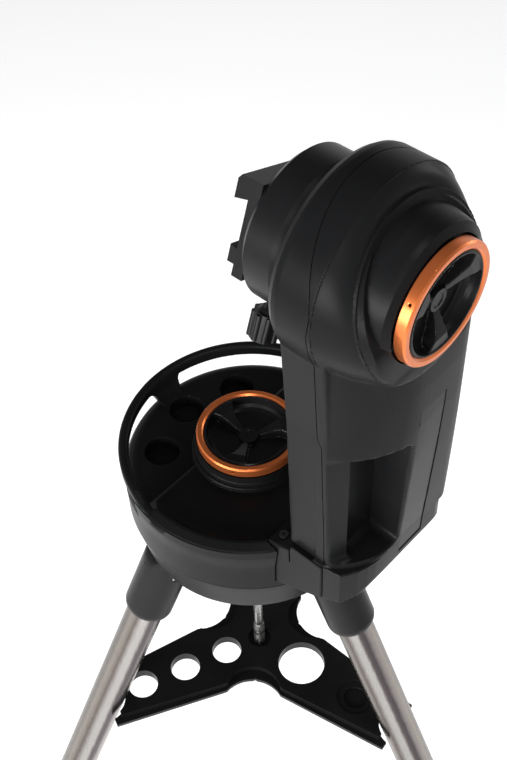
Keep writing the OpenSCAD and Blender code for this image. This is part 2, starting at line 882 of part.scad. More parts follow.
module trim_strip() {
  color("#101011")
    intersection() {
      translate([174.35, strip_y + 0.1, 936.1]) rotate([0, 2.6, 0]) cube([1.8, 31.8, 201.6]);
      translate([0, 0, 900]) linear_extrude(height = 460) shell_plan();
    }
}

module altitude_bearing() {
  color("#a9a9a6")
    on_alt(arm_in + 1)
      difference() {
        cylinder(r = 34, h = 14);
        translate([0, 0, -1]) cylinder(r = 18.06, h = 20);
        translate([0, 0, -1]) ring_of(29.5, 22.5, 3);
        translate([0, 0, 12]) ring_of(29.5, 22.5, 3);
      }
}

module altitude_wheel() {
  color("#b08a3e")
    on_alt(arm_in + 24)
      toothed(52, wheel_teeth, 8, 18.05);
}

module altitude_worm() {
  color("silver")
    translate([arm_in + 28, -26, alt_z - 60.2])
      rotate([-90, 0, 0])
        union() {
          cylinder(r = 3, h = 52, $fn = 48);
          translate([0, 0, 8]) cylinder(r = 7.6, h = 28, $fn = 48);
        }
}

module altitude_motor() {
  color("#7d7e7e")
    union() {
      translate([arm_in + 24, 0, alt_z - 96]) rotate([90, 0, 0]) translate([0, 0, -18]) cylinder(r = 12, h = 36);
      translate([arm_in + 3.6, -22, alt_z - 108]) cube([34, 4, 24]);
      translate([arm_in + 24, 18, alt_z - 96]) rotate([-90, 0, 0]) cylinder(r = 5, h = 8, $fn = 32);
    }
}

// ---- altitude body: shaft, hub, saddle ----

module altitude_shaft() {
  color("silver")
    union() {
      on_alt(72) cylinder(r = 18, h = 86);
      on_alt(158) cylinder(r = 8, h = 29);
    }
}

module saddle_hub() {
  color("#2c2c2d")
    difference() {
      union() {
        on_alt(64) cylinder(r = 62, h = 24);
        on_alt(88) cylinder(r1 = 62, r2 = 59, h = 4);
        on_alt(92) cylinder(r = 57, h = 7);
        on_alt(60) cylinder(r1 = 58, r2 = 62, h = 4);
      }
      on_alt(71) cylinder(r = 18.02, h = 40);
      on_alt(90) ring_of(54, 22, 20);
      translate([60, 0, alt_z])
        rotate([-saddle_angle, 0, 0]) {
          for (y = [-30, 30])
            translate([-1, y, 0]) rotate([0, 90, 0]) cylinder(r = 3.05, h = 13, $fn = 32);
          translate([-1, -26, -66]) cube([9, 52, 24]);
        }
    }
}

module on_saddle() {
  translate([0, 0, alt_z]) rotate([-saddle_angle, 0, 0]) children();
}

// Upper, fixed jaw with the saddle floor
module saddle_plate() {
  color("#262627")
    on_saddle()
      difference() {
        union() {
          translate([50, -saddle_len / 2, -38]) cube([10, saddle_len, 76]);
          translate([38, -saddle_len / 2, 0])
            rotate([90, 0, 0]) mirror([0, 0, 1])
              linear_extrude(height = saddle_len)
                polygon([[0, slot_w / 2], [12.1, slot_w / 2 + 3.24], [12.1, 37.9], [3, 37.9], [0, 34]]);
          // lug that carries the clamp screw
          translate([56, knob_y - 9, -56]) cube([4, 18, 22]);
          translate([46, knob_y - 9, -56]) cube([14, 18, 15.5]);
        }
        for (y = [-30, 30])
          translate([49, y, 0]) rotate([0, 90, 0]) cylinder(r = 3.3, h = 12, $fn = 32);
        for (y = [-30, 30])
          translate([49, y, 0]) rotate([0, 90, 0]) cylinder(r = 5.6, h = 6, $fn = 32);
        translate([49.5, -36, -40.5]) cube([6.5, 84, 15.5]);
        translate([knob_x, knob_y, -60]) cylinder(r = screw_r + 0.06, h = 22, $fn = 48);
      }
}

// Lower jaw, pressed up by the knob
module saddle_jaw() {
  color("#303031")
    on_saddle()
      difference() {
        union() {
          translate([38, -saddle_len / 2 + 8, 0])
            rotate([90, 0, 0]) mirror([0, 0, 1])
              linear_extrude(height = saddle_len - 16)
                polygon([[0, -slot_w / 2 - 1.2], [11.7, -slot_w / 2 - 4.34], [11.7, -34], [0, -34]]);
          translate([49.6, -35, -33.8]) cube([6, 82, 8]);
        }
        translate([knob_x, knob_y, -40]) cylinder(r = screw_r + 0.06, h = 20, $fn = 48);
      }
}

module saddle_knob() {
  color("#1c1c1d")
    on_saddle()
      translate([knob_x, knob_y, 0])
        union() {
          translate([0, 0, -80.5]) cylinder(r = screw_r, h = 52, $fn = 48);
          translate([0, 0, -84]) cylinder(r1 = 9, r2 = 6, h = 4);
          translate([0, 0, -108]) cylinder(r = 11.4, h = 24);
          for (t = [0:45:315])
            rotate([0, 0, t]) translate([10.6, 0, -107]) cylinder(r = 2.8, h = 22, $fn = 24);
        }
}

module altitude_clutch_ring() {
  color("#c8642c")
    on_alt(ring_face - ring_h)
      difference() {
        union() {
          cylinder(r1 = ring_r - 1, r2 = ring_r, h = 1);
          translate([0, 0, 1]) cylinder(r = ring_r, h = ring_h - 2);
          translate([0, 0, ring_h - 1]) cylinder(r1 = ring_r, r2 = ring_r - 1, h = 1);
        }
        translate([0, 0, -1]) cylinder(r = ring_in, h = ring_h + 2);
        rotate([0, 0, -50]) translate([40, 0, 4.8]) rotate([0, 90, 0]) cylinder(r = 1.5, h = 10, $fn = 24);
      }
}

module altitude_clutch_knob() {
  color("#1e1e1f")
    difference() {
      on_alt(ring_face) clutch_cup(18);
      on_alt(150) cylinder(r = 8.05, h = 37.4);
    }
}

tripod_head();
centring_pin();
hinge_pins();
captive_bolt(60);  // captive_bolt_1
captive_bolt(180);  // captive_bolt_2
captive_bolt(300);  // captive_bolt_3
centre_rod();
leg_collar(0);  // leg_collar_1
leg_collar(1);  // leg_collar_2
leg_collar(2);  // leg_collar_3
leg_tube(0);  // leg_tube_1
leg_tube(1);  // leg_tube_2
leg_tube(2);  // leg_tube_3
leg_clamp(0);  // leg_clamp_1
leg_clamp(1);  // leg_clamp_2
leg_clamp(2);  // leg_clamp_3
leg_lock(0);  // leg_lock_1
leg_lock(1);  // leg_lock_2
leg_lock(2);  // leg_lock_3
leg_inner(0);  // leg_inner_1
leg_inner(1);  // leg_inner_2
leg_inner(2);  // leg_inner_3
leg_foot(0);  // leg_foot_1
leg_foot(1);  // leg_foot_2
leg_foot(2);  // leg_foot_3
spreader_tray();
tray_knob();
base_shell();
azimuth_spindle();
azimuth_bearing();
drum_housing();
accessory_tray();
handle_rail();
port_panel();
port_sockets();
power_button();
battery_box();
battery_cells();
control_board();
azimuth_motor();
azimuth_wheel();
azimuth_worm();
azimuth_clutch_ring();
azimuth_clutch_knob();
arm_foot();
foot_screws();
arm_inner_shell();
arm_outer_shell();
trim_strip();
altitude_bearing();
altitude_wheel();
altitude_worm();
altitude_motor();
altitude_shaft();
saddle_hub();
saddle_plate();
saddle_jaw();
saddle_knob();
altitude_clutch_ring();
altitude_clutch_knob();
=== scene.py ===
"""Looks of a single-arm telescope mount on a steel tripod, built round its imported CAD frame."""

import json
import math

import bpy
import numpy as np
from mathutils import Matrix, Vector


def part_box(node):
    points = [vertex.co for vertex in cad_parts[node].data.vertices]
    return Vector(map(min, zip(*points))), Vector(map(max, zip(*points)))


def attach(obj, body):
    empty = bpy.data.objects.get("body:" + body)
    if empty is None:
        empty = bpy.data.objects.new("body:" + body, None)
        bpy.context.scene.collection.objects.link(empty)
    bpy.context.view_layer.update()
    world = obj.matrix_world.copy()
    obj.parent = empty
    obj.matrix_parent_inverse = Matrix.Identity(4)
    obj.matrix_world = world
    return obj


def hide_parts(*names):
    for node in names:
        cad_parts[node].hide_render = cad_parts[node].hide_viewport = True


MM = 0.001

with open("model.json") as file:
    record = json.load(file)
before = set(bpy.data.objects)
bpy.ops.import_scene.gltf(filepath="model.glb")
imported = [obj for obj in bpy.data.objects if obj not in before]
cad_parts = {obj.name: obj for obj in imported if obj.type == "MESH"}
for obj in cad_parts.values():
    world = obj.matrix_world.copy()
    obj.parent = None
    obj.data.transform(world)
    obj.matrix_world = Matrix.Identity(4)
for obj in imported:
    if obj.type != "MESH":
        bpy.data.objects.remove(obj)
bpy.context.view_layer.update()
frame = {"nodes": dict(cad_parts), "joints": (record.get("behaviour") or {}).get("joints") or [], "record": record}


# ---- Places taken from the frame, in millimetres ----

def low(node):
    return np.array(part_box(node)[0]) / MM


def high(node):
    return np.array(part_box(node)[1]) / MM


joints = {j["name"]: j for j in frame["joints"]}
alt_z = joints["altitude_turn"]["pos_m"][2] / MM
rim_z = high("drum_housing")[2]
drum_r = high("drum_housing")[1]
deck_z = rim_z - 13.2  # floor of the accessory tray
dish_z = rim_z - 3.2  # the tray's upper level, round the clutch
lip_z = rim_z + 4.1  # the tray's raised lip
rail_top = high("handle_rail")[2]
ring_top = high("azimuth_clutch_ring")[2]
ring_face = high("altitude_clutch_ring")[0]
ring_r = high("azimuth_clutch_ring")[0]
ring_h = ring_top - low("azimuth_clutch_ring")[2]
ring_in = ring_r - 7.0
arm_in = low("arm_inner_shell")[0]
head_r = high("arm_inner_shell")[1]
foot_side = high("arm_foot")[1]
foot_front = high("arm_foot")[0]


# ---- Materials ----

def node(tree, kind, **values):
    made = tree.nodes.new(kind)
    for name, value in values.items():
        setattr(made, name, value)
    return made


def noise(tree, vector, scale, detail=3.0):
    """Noise with features 1/scale metres across."""
    made = node(tree, "ShaderNodeTexNoise")
    made.inputs["Scale"].default_value = scale
    made.inputs["Detail"].default_value = detail
    tree.links.new(vector, made.inputs["Vector"])
    return made.outputs["Fac"]


def ramp(tree, value, start, end, low_colour, high_colour):
    made = node(tree, "ShaderNodeValToRGB")
    made.color_ramp.elements[0].position = start
    made.color_ramp.elements[0].color = (*low_colour, 1)
    made.color_ramp.elements[1].position = end
    made.color_ramp.elements[1].color = (*high_colour, 1)
    tree.links.new(value, made.inputs["Fac"])
    return made.outputs["Color"]


def spread(tree, value, low_value, high_value):
    made = node(tree, "ShaderNodeMapRange")
    made.inputs["To Min"].default_value = low_value
    made.inputs["To Max"].default_value = high_value
    tree.links.new(value, made.inputs["Value"])
    return made.outputs["Result"]


def stretched(tree, stretch):
    """Object coordinates, squeezed so that noise runs as long streaks where stretch is small."""
    place = node(tree, "ShaderNodeTexCoord").outputs["Object"]
    made = node(tree, "ShaderNodeMapping")
    made.inputs["Scale"].default_value = stretch
    tree.links.new(place, made.inputs["Vector"])
    return made.outputs["Vector"]


BLOTCH = 14  # scale of the slow change in colour and gloss


def material(name, colour, rough, metal=0.0, shade=0.25, rough_spread=0.08, grain=900, depth=0.06,
             stretch=(1, 1, 1), specular=0.5):
    """A surface whose colour, gloss and relief come from noise.

    shade is how far the colour strays from its middle, grain the scale of the fine relief and
    depth the height of that relief in millimetres.
    """
    made = bpy.data.materials.new(name)
    made.use_nodes = True
    made.diffuse_color = (*colour, 1)
    tree = made.node_tree
    shader = tree.nodes["Principled BSDF"]
    shader.inputs["Metallic"].default_value = metal
    shader.inputs["Specular IOR Level"].default_value = specular
    place = stretched(tree, stretch)
    fine = noise(tree, place, grain)
    slow = noise(tree, place, BLOTCH, 4.0)
    darker = [c * (1 - shade) for c in colour]
    lighter = [min(1.0, c * (1 + shade)) for c in colour]
    tree.links.new(ramp(tree, slow, 0.3, 0.7, darker, lighter), shader.inputs["Base Color"])
    mixed = node(tree, "ShaderNodeMath", operation="ADD")
    tree.links.new(spread(tree, slow, rough - rough_spread, rough + rough_spread), mixed.inputs[0])
    tree.links.new(spread(tree, fine, -rough_spread / 2, rough_spread / 2), mixed.inputs[1])
    tree.links.new(mixed.outputs[0], shader.inputs["Roughness"])
    bump = node(tree, "ShaderNodeBump")
    bump.inputs["Strength"].default_value = 0.5
    bump.inputs["Distance"].default_value = depth * MM
    tree.links.new(fine, bump.inputs["Height"])
    tree.links.new(bump.outputs["Normal"], shader.inputs["Normal"])
    return made


# Painted reflections on the legs' steel: light and dark bands set into the base colour, from the side turned away
# from the world direction below (0) to the side turned towards it (1).
PAINTED_REFLECTION_BANDS = [
    (0.00, (0.05, 0.04, 0.035)), (0.12, (0.20, 0.18, 0.16)), (0.26, (0.08, 0.065, 0.06)),
    (0.40, (0.26, 0.25, 0.24)), (0.52, (0.30, 0.29, 0.28)), (0.60, (0.09, 0.075, 0.075)),
    (0.70, (0.07, 0.06, 0.065)), (0.80, (0.24, 0.22, 0.21)), (0.90, (0.30, 0.27, 0.24)),
    (1.00, (0.08, 0.07, 0.07)),
]
# The world direction that the painted reflection bands follow; they stay put in the world when a leg turns.
PAINTED_REFLECTION_SIDE = (0.69, 0.72, 0.0)


def tube_with_painted_reflections(name):
    """Drawn stainless tube with painted reflections: pale and dark bands of light and shade, fixed to the way the
    surface faces in the world, painted into its colour and broken up by fine streaks.
    """
    made = material(name, (0.4, 0.4, 0.4), 0.27, metal=1.0, rough_spread=0.05, grain=700,
                    depth=0.02, stretch=(1, 1, 0.03))
    tree = made.node_tree
    shader = tree.nodes["Principled BSDF"]
    # Painted reflection: the way the surface faces in the world picks its band of painted light or shade.
    facing = node(tree, "ShaderNodeVectorMath", operation="DOT_PRODUCT")
    tree.links.new(node(tree, "ShaderNodeNewGeometry").outputs["Normal"], facing.inputs[0])
    facing.inputs[1].default_value = PAINTED_REFLECTION_SIDE
    streak = noise(tree, stretched(tree, (1, 1, 0.02)), 260, 2.0)
    across = node(tree, "ShaderNodeMath", operation="ADD")
    tree.links.new(spread(tree, streak, -0.025, 0.025), across.inputs[0])
    around = node(tree, "ShaderNodeMapRange")
    around.inputs["From Min"].default_value = -1.0
    tree.links.new(facing.outputs["Value"], around.inputs["Value"])
    tree.links.new(around.outputs["Result"], across.inputs[1])
    bands = node(tree, "ShaderNodeValToRGB")
    steps = bands.color_ramp.elements
    steps[0].position, steps[0].color = PAINTED_REFLECTION_BANDS[0][0], (*PAINTED_REFLECTION_BANDS[0][1], 1)
    steps[1].position, steps[1].color = PAINTED_REFLECTION_BANDS[-1][0], (*PAINTED_REFLECTION_BANDS[-1][1], 1)
    for at, colour in PAINTED_REFLECTION_BANDS[1:-1]:
        steps.new(at).color = (*colour, 1)
    tree.links.new(across.outputs[0], bands.inputs["Fac"])
    tree.links.new(bands.outputs["Color"], shader.inputs["Base Color"])
    return made


LOOKS = {
    "casing_plastic": material("moulded_casing", (0.0048, 0.0049, 0.0052), 0.34, shade=0.2,
                               rough_spread=0.05, grain=1500, depth=0.07, specular=0.055),
    "black_plastic": material("black_plastic", (0.0045, 0.0045, 0.0050), 0.3, shade=0.2,
                              grain=1600, depth=0.04, specular=0.12),
    "painted_black": material("powder_coat", (0.0050, 0.0050, 0.0054), 0.31, shade=0.2,
                              grain=1100, depth=0.06, specular=0.12),
    "black_oxide": material("black_oxide", (0.012, 0.012, 0.013), 0.35, metal=0.3, shade=0.15,
                            grain=900, depth=0.02),
    "gloss_trim": material("gloss_trim", (0.0035, 0.0035, 0.0040), 0.24, shade=0.2,
                           rough_spread=0.03, grain=300, depth=0.005, specular=0.06),
    # The leg tubes carry painted reflections in their base colour.
    "leg_steel": tube_with_painted_reflections("stainless_tube_painted_reflections"),
    "steel": material("machined_steel", (0.45, 0.45, 0.44), 0.28, metal=1.0, shade=0.08,
                      grain=900, depth=0.02, stretch=(1, 1, 8)),
    "orange_anodised": material("orange_anodised", (0.62, 0.16, 0.045), 0.30, metal=0.85,
                                shade=0.06, rough_spread=0.04, grain=1500, depth=0.012),
    "brass": material("brass", (0.62, 0.43, 0.16), 0.3, metal=1.0, shade=0.1, grain=900,
                      depth=0.02),
    "rubber": material("rubber", (0.013, 0.013, 0.013), 0.7, shade=0.2, grain=700, depth=0.12),
    "board_green": material("board_green", (0.02, 0.12, 0.05), 0.45, shade=0.2, grain=300,
                            depth=0.05),
    "cell_wrap": material("cell_wrap", (0.05, 0.12, 0.28), 0.25, shade=0.1, grain=300,
                          depth=0.02),
    "motor_metal": material("motor_metal", (0.25, 0.25, 0.26), 0.4, metal=0.8, shade=0.1,
                            grain=800, depth=0.03),
    "button_red": material("button_orange", (0.5, 0.13, 0.04), 0.4, shade=0.1, grain=900,
                           depth=0.03),
}
slot_of = {s["node"]: s["material_slot"] for s in frame["record"]["subparts"]}
body_of = {n: b for b, nodes in frame["record"]["behaviour"]["bodies"].items() for n in nodes}


def paint(piece, slot):
    piece.data.materials.clear()
    piece.data.materials.append(LOOKS[slot])


# ---- CAD nodes that keep their own shape: painted, with broken edges ----

EDGE = {"spreader_tray": 0.9, "drum_housing": 0.7, "base_shell": 0.8, "tripod_head": 0.8}
usual_edge = 0.4
weld_reach = 0.02
for name, piece in frame["nodes"].items():
    paint(piece, slot_of[name])
    weld = piece.modifiers.new("weld", "WELD")
    weld.merge_threshold = weld_reach * MM
    edges = piece.modifiers.new("broken_edges", "BEVEL")
    edges.width = EDGE.get(name, usual_edge) * MM
    edges.segments = 2
    edges.limit_method = "ANGLE"
    edges.angle_limit = math.radians(32)
    edges.use_clamp_overlap = True
    piece.modifiers.new("even_shading", "WEIGHTED_NORMAL")


# ---- Solids as distance fields, in millimetres ----

def outline(points, u, v):
    """Signed distance to a closed outline in a plane, negative inside."""
    u, v = np.broadcast_arrays(u, v)
    nearest = np.full(u.shape, 1e9, np.float32)
    inside = np.zeros(u.shape, bool)
    for (au, av), (bu, bv) in zip(points, points[1:] + points[:1]):
        du, dv = bu - au, bv - av
        wu, wv = u - au, v - av
        t = np.clip((wu * du + wv * dv) / (du * du + dv * dv), 0, 1)
        nearest = np.minimum(nearest, (wu - du * t) ** 2 + (wv - dv * t) ** 2)
        if av != bv:
            inside ^= ((av <= v) != (bv <= v)) & (wu < wv * du / dv)
    return np.where(inside, -1, 1) * np.sqrt(nearest)


def softened(points, rounds=2):
    """A closed outline with its corners cut again and again, so that it runs as a curve."""
    for _ in range(rounds):
        cut = []
        for a, b in zip(points, points[1:] + points[:1]):
            cut.append((a[0] * 0.75 + b[0] * 0.25, a[1] * 0.75 + b[1] * 0.25))
            cut.append((a[0] * 0.25 + b[0] * 0.75, a[1] * 0.25 + b[1] * 0.75))
        points = cut
    return points


def joined(a, b, fillet):
    """Both solids together, with a fillet in the inner corner."""
    rounded = np.hypot(np.maximum(fillet - a, 0), np.maximum(fillet - b, 0))
    return np.maximum(fillet, np.minimum(a, b)) - rounded


def common(a, b, edge):
    """What both solids share, with the outer edge rounded."""
    rounded = np.hypot(np.maximum(edge + a, 0), np.maximum(edge + b, 0))
    return np.minimum(-edge, np.maximum(a, b)) + rounded


def without(a, b, edge):
    """The first solid less the second, with the edge of the cut rounded."""
    return common(a, -b, edge)


def between(value, low_value, high_value):
    """Distance to a slab, negative between its faces."""
    return np.abs(value - (low_value + high_value) / 2) - (high_value - low_value) / 2


CORNERS = [(i & 1, i >> 1 & 1, i >> 2 & 1) for i in range(8)]
PROBE = 0.04  # reach of the slope's differences, in millimetres
PULL_TO_MIDDLE = 0.06  # how hard a cell's point is held near its mean crossing
SMOOTH_ENOUGH = 0.985  # a cell whose normals agree better than this has no sharp edge
POINT_REACH = 0.55  # how far a point may stray from its cell's middle, in steps


def slope(shape, at):
    """Unit normals of a distance field at points in space."""
    steps = PROBE * np.eye(3)
    made = np.stack([shape(*(at + e).T) - shape(*(at - e).T) for e in steps], 1)
    return made / np.maximum(np.linalg.norm(made, axis=1), 1e-9)[:, None]


def surface(shape, axes, step):
    """Points, corner normals and quads of a shape's skin.

    Each grid cell that the skin crosses holds one point, set on its sharp edge or corner where
    it has one, and each crossed grid edge gives a quad through its four cells.
    """
    x, y, z = axes
    grid = shape(x[:, None, None], y[None, :, None], z[None, None, :])
    grid = np.broadcast_to(grid, [len(a) for a in axes])
    start = np.array([a[0] for a in axes], float)
    solid = grid < 0
    size = [n - 1 for n in grid.shape]
    filled = np.zeros(size, np.int8)
    for c in CORNERS:
        filled += solid[tuple(slice(c[k], c[k] + size[k]) for k in range(3))]
    cells = np.argwhere((filled > 0) & (filled < 8))
    count = len(cells)
    number = np.full(size, -1, np.int32)
    number[tuple(cells.T)] = np.arange(count)
    middles = (cells + 0.5) * step + start
    tensor, pull, centre, normals = (np.zeros((count, n)) for n in (9, 3, 3, 3))
    hits = np.zeros(count)
    quads = []
    for k in range(3):
        along = np.eye(3, dtype=int)[k]
        near = np.argwhere(np.diff(solid, axis=k))
        first, last = grid[tuple(near.T)], grid[tuple((near + along).T)]
        # Where the skin crosses the edge: a straight guess, then one step closer.
        t = first / (first - last)
        value = shape(*((near + t[:, None] * along) * step + start).T)
        same = (value < 0) == (first < 0)
        t = np.where(same, t + (1 - t) * value / np.where(same, value - last, 1),
                     t * first / np.where(same, 1, first - value))
        at = (near + t[:, None] * along) * step + start
        normal = slope(shape, at)
        # The four cells round the edge share its crossing and its quad.
        ring = []
        for da, db in ((1, 1), (0, 1), (0, 0), (1, 0)):
            cell = near.copy()
            cell[:, (k + 1) % 3] -= da
            cell[:, (k + 2) % 3] -= db
            fits = np.all((cell >= 0) & (cell < size), axis=1)
            which = np.where(fits, number[tuple(np.where(fits[:, None], cell, 0).T)], -1)
            ring.append(which)
            w, n, p = which[fits], normal[fits], at[fits]
            p = p - middles[w]
            reach = np.sum(n * p, axis=1)
            for a in range(3):
                for b in range(3):
                    tensor[:, 3 * a + b] += np.bincount(w, n[:, a] * n[:, b], count)
                pull[:, a] += np.bincount(w, n[:, a] * reach, count)
                centre[:, a] += np.bincount(w, p[:, a], count)
                normals[:, a] += np.bincount(w, n[:, a], count)
            hits += np.bincount(w, minlength=count)
        ring = np.stack(ring, 1)
        flip = solid[tuple(near.T)]
        ring = np.where(flip[:, None], ring, ring[:, ::-1])
        quads.append(ring[np.all(ring >= 0, axis=1)])
    centre /= hits[:, None]
    normals /= hits[:, None]
    weight = PULL_TO_MIDDLE * hits[:, None]
    system = tensor.reshape(-1, 3, 3) + weight[:, :, None] * np.eye(3)
    place = np.linalg.solve(system, (pull + weight * centre)[:, :, None])[:, :, 0]
    points = middles + np.clip(place, -POINT_REACH * step, POINT_REACH * step)
    quads = np.concatenate(quads)
    corners = points[quads]
    flat = np.cross(corners[:, 2] - corners[:, 0], corners[:, 3] - corners[:, 1])
    flat /= np.maximum(np.linalg.norm(flat, axis=1), 1e-9)[:, None]
    agreement = np.linalg.norm(normals, axis=1)
    normals /= np.maximum(agreement, 1e-9)[:, None]
    smooth = (agreement > SMOOTH_ENOUGH)[quads]
    corner_normals = np.where(smooth[:, :, None], normals[quads], flat[:, None, :])
    return points, corner_normals.reshape(-1, 3), quads


def carve(name, shape, box_low, box_high, step, replaces):
    """A solid from a distance field, standing for a CAD node."""
    margin = 2.5 * step
    axes = [np.arange(a - margin, b + margin + step, step, dtype=np.float32)
            for a, b in zip(box_low, box_high)]
    points, normals, quads = surface(shape, axes, step)
    mesh = bpy.data.meshes.new(name)
    mesh.from_pydata((points * MM).tolist(), [], quads.tolist())
    mesh.shade_smooth()
    mesh.normals_split_custom_set(normals.tolist())
    piece = bpy.data.objects.new(name, mesh)
    bpy.context.scene.collection.objects.link(piece)
    slot = slot_of[replaces]
    paint(piece, slot)
    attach(piece, body_of[replaces])
    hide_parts(replaces)


# ---- The arm: one closed form, parted into two shells along its seam ----

shell_low = 962.3  # foot of the shells, above the arm's foot
skirt_top = 964.2  # where the wider skirt ends
skirt_low = 912
shaft_z = 1000 - alt_z  # heights from the altitude axis at which the shaft's sides bend
shoulder_z = 1130 - alt_z
dome_front, ring_front = 187, 187.6
rim_r, crease_x = 82.0, 143.5  # the head's sloping face runs from this circle
step_r, step_x = 68.5, 171.5  # to this one, which is tilted
face_slope = 0.3
face_scale = math.hypot(1, face_slope)
face_bulge = 2.2
shell_gap = 0.3  # half the gap between the shells

# Where the seam between the shells runs: heights, and its x at each of them.
SEAM = (
    [955, 968, 1122, 1130, 1180, 1250, 1270, 1287, 1317, 1337],
    [147, 146, 144, 140, 140, 140, 142, 138, 127, 119],
)
# The shaft seen along y, then the shaft and its skirt seen from above.
FRONT = [
    (foot_front + 0.3, shell_low), (foot_front + 0.3, 916), (166, 922), (174, 927), (178, 937),
    (179, 966), (181, 1000), (184, 1060), (187, 1120), (188, 1165), (187, 1190), (168, alt_z),
    (136, 1345), (136, shell_low),
]
PLAN = softened([
    (90, -78), (140, -74), (150, -68), (160, -61), (169, -51), (177, -37), (184, -18), (188, 0),
    (188, 38), (185, 53), (178, 62), (166, 69), (150, 74), (90, 78),
])
SKIRT = [
    (90, -70), (147, -70), (164.5, -66.8), (169, -60), (173, -53), (176, -44), (178, -34),
    (179.3, -20), (179.6, 0), (179.6, 38), (178, 50), (174, 60), (166, 67), (150, 71), (90, 72),
]
# The shaft, its inner shell and the raised pad on it, seen along x with heights from the axis.
SIDE = [
    (-76, 0), (-69, shoulder_z), (-66, shaft_z), (-66, 966 - alt_z), (-69.5, 964 - alt_z),
    (-69.5, skirt_low - alt_z), (69.5, skirt_low - alt_z), (69.5, 964 - alt_z),
    (66, 966 - alt_z), (66, shaft_z), (69, shoulder_z), (76, 0), (60, 25), (-60, 25),
]
INNER_SIDE = [
    (-76, 0), (-69, shoulder_z), (-66, shaft_z), (-65, shell_low - alt_z),
    (65, shell_low - alt_z), (66, shaft_z), (69, shoulder_z), (76, 0),
]
PAD_SIDE = [
    (-54, -20), (-52, shaft_z), (-50, shell_low - alt_z), (50, shell_low - alt_z),
    (52, shaft_z), (54, -20),
]
# Half sections of the head about the altitude axis: x, then radius.
HEAD_BACK = [
    (90, 0), (90, 61), (arm_in, 66), (arm_in, 73), (arm_in + 3, 78.5), (arm_in + 8, 82),
    (arm_in + 12, head_r), (200, head_r), (200, 0),
]
CONE = [
    (140, 0), (140, 61.3), (165, 60.6), (178, 58.4), (182.5, 57), (186, 50.8), (186, 0),
]
POCKET = [
    (149, -8), (149, -43), (157, -50), (149.5, -67.5), (149.5, -90), (205, -90), (205, -8),
]
STRIP_Y, STRIP_Z = (-3, 28), (944, 1137)
strip_gap = 0.5
HOLLOW = [(-70, -20), (-60, 965 - alt_z), (60, 965 - alt_z), (70, -20)]


def arm_skin(x, y, z):
    """The arm's outer surface without its cuts."""
    h = z - alt_z
    r = np.hypot(y, h)
    front = outline(FRONT, x, z)
    upper = common(common(front, outline(PLAN, x, y), 4), skirt_top - 0.8 - z, 0.6)
    skirt = common(common(front, outline(SKIRT, x, y), 1.2), z - skirt_top, 1.6)
    shaft = common(np.minimum(upper, skirt), outline(SIDE, y, h), 1.5)
    inner = common(outline(INNER_SIDE, y, h), between(x, arm_in + 8, 150), 2)
    pad = common(outline(PAD_SIDE, y, h), between(x, arm_in, 150), 2)
    back = joined(inner, pad, 4)
    tilt = face_slope * h
    rise = step_x - face_slope * step_r * h / np.maximum(r, 1) - crease_x
    t = np.clip((rim_r - r) / (rim_r - step_r), 0, 1.3)
    bulge = face_bulge * np.sin(np.pi * np.minimum(t, 1))
    face = (x - crease_x - t * rise - bulge) / np.hypot(1, rise / (rim_r - step_r))
    dome = common(np.maximum(outline(HEAD_BACK, x, r), face), x - dome_front, 3)
    ring = np.maximum(r - step_r, (x + tilt - step_x - face_bulge) / face_scale)
    ring = common(ring, x - ring_front, 3)
    whole = joined(joined(back, shaft, 1), dome, 1.2)
    whole = np.minimum(whole, np.maximum(ring, 130 - x))
    return np.minimum(whole, outline(CONE, x, r))


def arm_cuts(x, y, z, skin):
    """The arm less its pocket, its strip's groove and the room for what it holds."""
    h = z - alt_z
    r = np.hypot(y, h)
    pocket = common(outline(POCKET, x, y), between(z, 968, 1103 - 0.12 * y), 7)
    groove = np.maximum(between(y, STRIP_Y[0] - strip_gap, STRIP_Y[1] + strip_gap),
                        between(z, STRIP_Z[0] - strip_gap, STRIP_Z[1] + strip_gap))
    groove = np.maximum(groove, -(skin + 2.6))
    side_slot = np.maximum(np.abs(z - 951 - 0.4 * (y - 52)) - 1.6, np.maximum(54 - y, 162 - x))
    clutch_recess = np.maximum(r - 50, 177.5 - x)
    passage = r - 20.1
    hub_hole = np.maximum(r - 34.1, x - 116)
    drive = np.maximum(np.maximum(r - 54, between(x, arm_in + 3.5, 175.5)), -h - 150)
    room = between(x, arm_in + 11, 144)
    hollow = common(outline(HOLLOW, y, h) + 1, room, 2)
    hollow = np.minimum(hollow, common(r - 78, room, 2))
    cut = without(skin, pocket, 2.6)
    for hole in (groove, side_slot, clutch_recess, passage, hub_hole, drive, hollow):
        cut = np.maximum(cut, -hole)
    return cut


def seam_x(z):
    return np.interp(z, *SEAM).astype(np.float32)


def outer_cover(x, y, z):
    return np.maximum(arm_cuts(x, y, z, arm_skin(x, y, z)), seam_x(z) + shell_gap - x)


def inner_cover(x, y, z):
    return np.maximum(arm_cuts(x, y, z, arm_skin(x, y, z)), x + shell_gap - seam_x(z))


def trim(x, y, z):
    skin = arm_skin(x, y, z)
    plate = common(between(y, *STRIP_Y), between(z, *STRIP_Z), 1.5)
    return common(common(plate, skin + 0.7, 0.5), -(skin + 2.5), 0.2)


arm_side, arm_top = head_r + 1, alt_z + head_r + 7
carve("arm_outer_shell_cover", outer_cover, (116, -arm_side, skirt_low), (195, arm_side, arm_top),
      1.45, "arm_outer_shell")
carve("arm_inner_shell_cover", inner_cover, (arm_in, -arm_side, 958), (150, arm_side, arm_top),
      1.5, "arm_inner_shell")
carve("trim_strip_plate", trim, (168, -5, 940), (190, 31, 1140), 1.2, "trim_strip")


# ---- The clutches: an anodised ring round a cup with three grips ----

